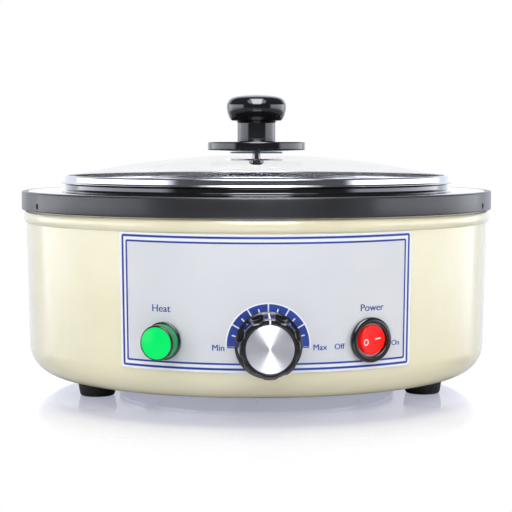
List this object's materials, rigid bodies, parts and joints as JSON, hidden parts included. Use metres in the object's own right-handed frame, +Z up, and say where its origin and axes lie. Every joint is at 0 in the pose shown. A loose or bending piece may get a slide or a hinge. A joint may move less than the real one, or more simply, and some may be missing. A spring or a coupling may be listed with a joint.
{
  "type": "tissue flotation bath",
  "caption": "Round heated water bath for floating tissue sections, with a drawn shell on rubber feet, a black pot, a domed glass lid with a knob, and a panel with lamp, dial and rocker switch.",
  "frame": {"origin": "under the middle of the outline, on the plane that the feet stand on", "axes": "+Z up, -Y out of the front panel with the dial, +X to the right of someone who faces the panel"},
  "size_m": [0.286, 0.3012, 0.1758],
  "materials": {
    "cream_enamel": "gloss enamel",
    "black_trim": "satin",
    "black_anodised": "black anodised, satin",
    "silicone": "matte",
    "glass_wool": "fibrous",
    "polished_steel": "polished",
    "plain_steel": "plain",
    "galvanised": "galvanised",
    "clear_glass": "clear",
    "black_phenolic": "gloss",
    "black_nylon": "satin",
    "printed_plate": "printed, satin",
    "spun_aluminium": "turned",
    "green_lens": "translucent",
    "bulb_glass": "clear",
    "red_rocker": "gloss",
    "brass": "plain",
    "copper": "plain copper",
    "ceramic": "matte",
    "foot_rubber": "matte",
    "lead_cover": "braided sleeve"
  },
  "bodies": {
    "base": {"body_shell": "cream_enamel", "trim_ring": "black_trim", "trim_screw_left": "plain_steel", "trim_screw_right": "plain_steel", "trim_screw_rear": "plain_steel", "deck_gasket": "silicone", "bath_pot": "black_anodised", "insulation_sleeve": "glass_wool", "heating_element": "plain_steel", "element_end_left": "ceramic", "element_end_right": "ceramic", "clamp_plate": "galvanised", "clamp_bolt": "plain_steel", "thermal_cutout": "black_nylon", "control_plate": "printed_plate", "lamp_housing": "black_nylon", "lamp_lens": "green_lens", "lamp_bulb": "bulb_glass", "lamp_nut": "black_nylon", "thermostat": "black_nylon", "thermostat_bush": "brass", "bush_nut": "brass", "switch_housing": "black_nylon", "rocker_pin": "plain_steel", "switch_tab_load": "brass", "switch_tab_supply": "brass", "sensor_bulb": "copper", "capillary": "copper", "cord_gland": "black_nylon", "gland_nut": "black_nylon", "terminal_block": "ceramic", "block_screw": "plain_steel", "lead_supply": "lead_cover", "lead_lamp_return": "lead_cover", "lead_lamp_feed": "lead_cover", "lead_thermostat": "lead_cover", "lead_element_feed": "lead_cover", "lead_element_return": "lead_cover", "lead_cutout_return": "lead_cover", "foot_left": "foot_rubber", "foot_right": "foot_rubber", "foot_rear": "foot_rubber", "foot_screw_left": "plain_steel", "foot_screw_right": "plain_steel", "foot_screw_rear": "plain_steel", "bottom_cover": "galvanised", "cover_screw_left": "plain_steel", "cover_screw_right": "plain_steel", "cover_screw_rear": "plain_steel"},
    "lid": {"lid_glass": "clear_glass", "lid_band": "polished_steel", "lid_washer_outer": "silicone", "lid_washer_inner": "polished_steel", "knob_guard": "black_phenolic", "lid_knob": "black_phenolic", "lid_screw": "plain_steel"},
    "dial": {"dial_knob": "black_phenolic", "dial_insert": "spun_aluminium", "dial_shaft": "plain_steel"},
    "rocker": {"rocker": "red_rocker"}
  },
  "joints": [
    {"name": "lid_lift", "type": "slide", "parent": "base", "child": "lid", "axis": [0, 0, 1], "range_m": [0, 0.12]},
    {"name": "dial_turn", "type": "hinge", "parent": "base", "child": "dial", "pos_m": [0, -0.13174, 0.0392], "axis": [0, -0.9997, -0.0258], "range_deg": [-90, 90]},
    {"name": "rocker_tilt", "type": "hinge", "parent": "base", "child": "rocker", "pos_m": [0.05498, -0.11883, 0.04024], "axis": [0.0103, -0.0237, 0.9997], "range_deg": [-18, 0]}
  ]
}
